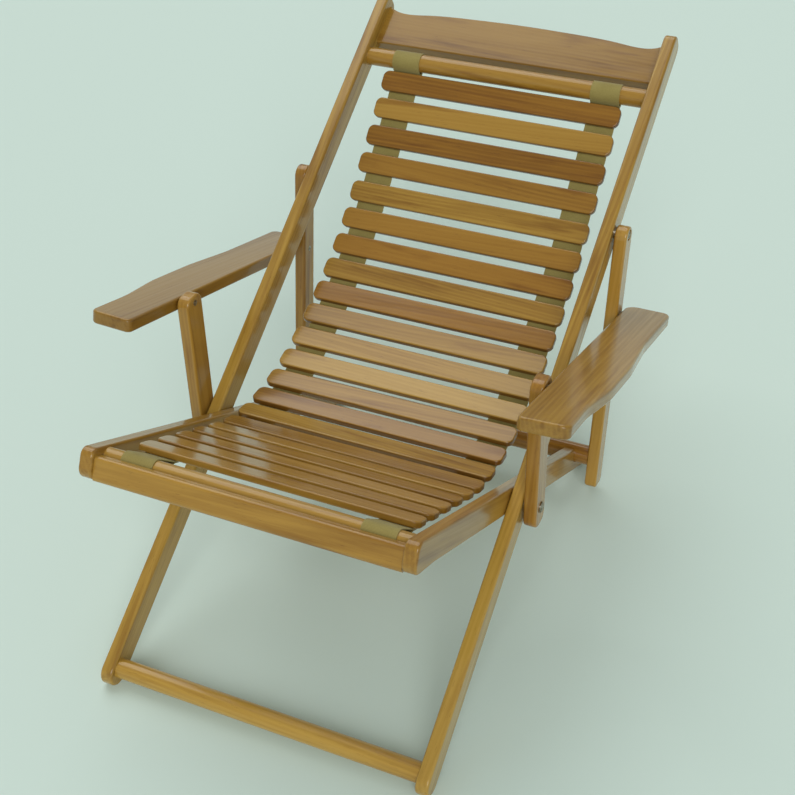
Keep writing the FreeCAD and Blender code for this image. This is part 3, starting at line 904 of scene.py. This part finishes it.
class DECKCHAIR_OT_add_tacks(bpy.types.Operator):
    """Drive the tacks that hold each slat to the tapes, from below"""

    bl_idname = "deckchair.add_tacks"
    bl_label = "Add Tacks"

    def execute(self, context):
        sizes = context.scene.deck_sling
        steel = turned_steel("tack_steel")
        model = tack_model()
        depth = level_under() - sizes.tape_thick / 2 - TACK_DROP
        placed = {}
        for number in range(len(SLAT_TONES)):
            y, z = beside_slat(number, 0.0, depth)
            turned = Matrix.Rotation(math.radians(slat_slope(number)), 4, "X")
            for side in SIDES:
                middle = tape_place(side)[0]
                for step in (-0.5, 0.5):
                    copy = model.copy()
                    copy.data = model.data.copy()
                    context.scene.collection.objects.link(copy)
                    x = middle + step * sizes.tack_spread
                    copy.matrix_world = Matrix.Translation((x, y, z)) @ turned
                    placed.setdefault(BODY_OF_PART[slat_name(number)], []).append(copy)
        bpy.data.objects.remove(model)
        for body, tacks in placed.items():
            piece = join(tacks, "tacks_" + body)
            settle(piece)
            dress(piece, steel)
            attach(piece, body)
        return {"FINISHED"}


class DECKCHAIR_OT_finish_fittings(bpy.types.Operator):
    """Give the bolts and screws their plated finish"""

    bl_idname = "deckchair.finish_fittings"
    bl_label = "Finish Fittings"

    def execute(self, context):
        steel = turned_steel("bolt_steel")
        for kind in ("seat_bolt", "leg_bolt", "arm_screw", "post_screw"):
            for side in SIDES:
                dress(frame["nodes"][kind + "_" + side], steel)
        return {"FINISHED"}


class DECKCHAIR_OT_build_stage(bpy.types.Operator):
    """Lay the pale floor, hang the soft lamps and stand the camera"""

    bl_idname = "deckchair.build_stage"
    bl_label = "Build Stage"

    def execute(self, context):
        look = context.scene.deck_stage
        lay_floor(look.floor_size, look.floor_colour)
        hang_lamps(look)
        light_room(look.wall_light, look.ceiling_light)
        stand_camera()
        context.scene.view_settings.view_transform = "Standard"
        return {"FINISHED"}


class DECKCHAIR_PT_panel(bpy.types.Panel):
    bl_label = "Steamer Deck Chair"
    bl_idname = "DECKCHAIR_PT_panel"
    bl_space_type = "VIEW_3D"
    bl_region_type = "UI"
    bl_category = "Deck Chair"

    def draw(self, context):
        layout = self.layout
        for group in GROUPS:
            settings = getattr(context.scene, group)
            box = layout.box()
            for key in settings.__annotations__:
                box.prop(settings, key)
        for operator in OPERATORS:
            layout.operator(operator.bl_idname)


GROUPS = {
    "deck_sling": DECKCHAIR_PG_sling,
    "deck_timber": DECKCHAIR_PG_timber,
    "deck_metal": DECKCHAIR_PG_metal,
    "deck_stage": DECKCHAIR_PG_stage,
}
OPERATORS = (
    DECKCHAIR_OT_varnish_frames,
    DECKCHAIR_OT_varnish_slats,
    DECKCHAIR_OT_add_tapes,
    DECKCHAIR_OT_add_tacks,
    DECKCHAIR_OT_finish_fittings,
    DECKCHAIR_OT_build_stage,
)
CLASSES = (*GROUPS.values(), *OPERATORS, DECKCHAIR_PT_panel)


def register():
    for item in CLASSES:
        bpy.utils.register_class(item)
    for name, group in GROUPS.items():
        setattr(bpy.types.Scene, name, bpy.props.PointerProperty(type=group))


def unregister():
    for name in GROUPS:
        delattr(bpy.types.Scene, name)
    for item in reversed(CLASSES):
        bpy.utils.unregister_class(item)


def main():
    register()
    bpy.ops.deckchair.varnish_frames()
    bpy.ops.deckchair.varnish_slats()
    bpy.ops.deckchair.add_tapes()
    bpy.ops.deckchair.add_tacks()
    bpy.ops.deckchair.finish_fittings()
    bpy.ops.deckchair.build_stage()


if __name__ == "__main__":
    main()
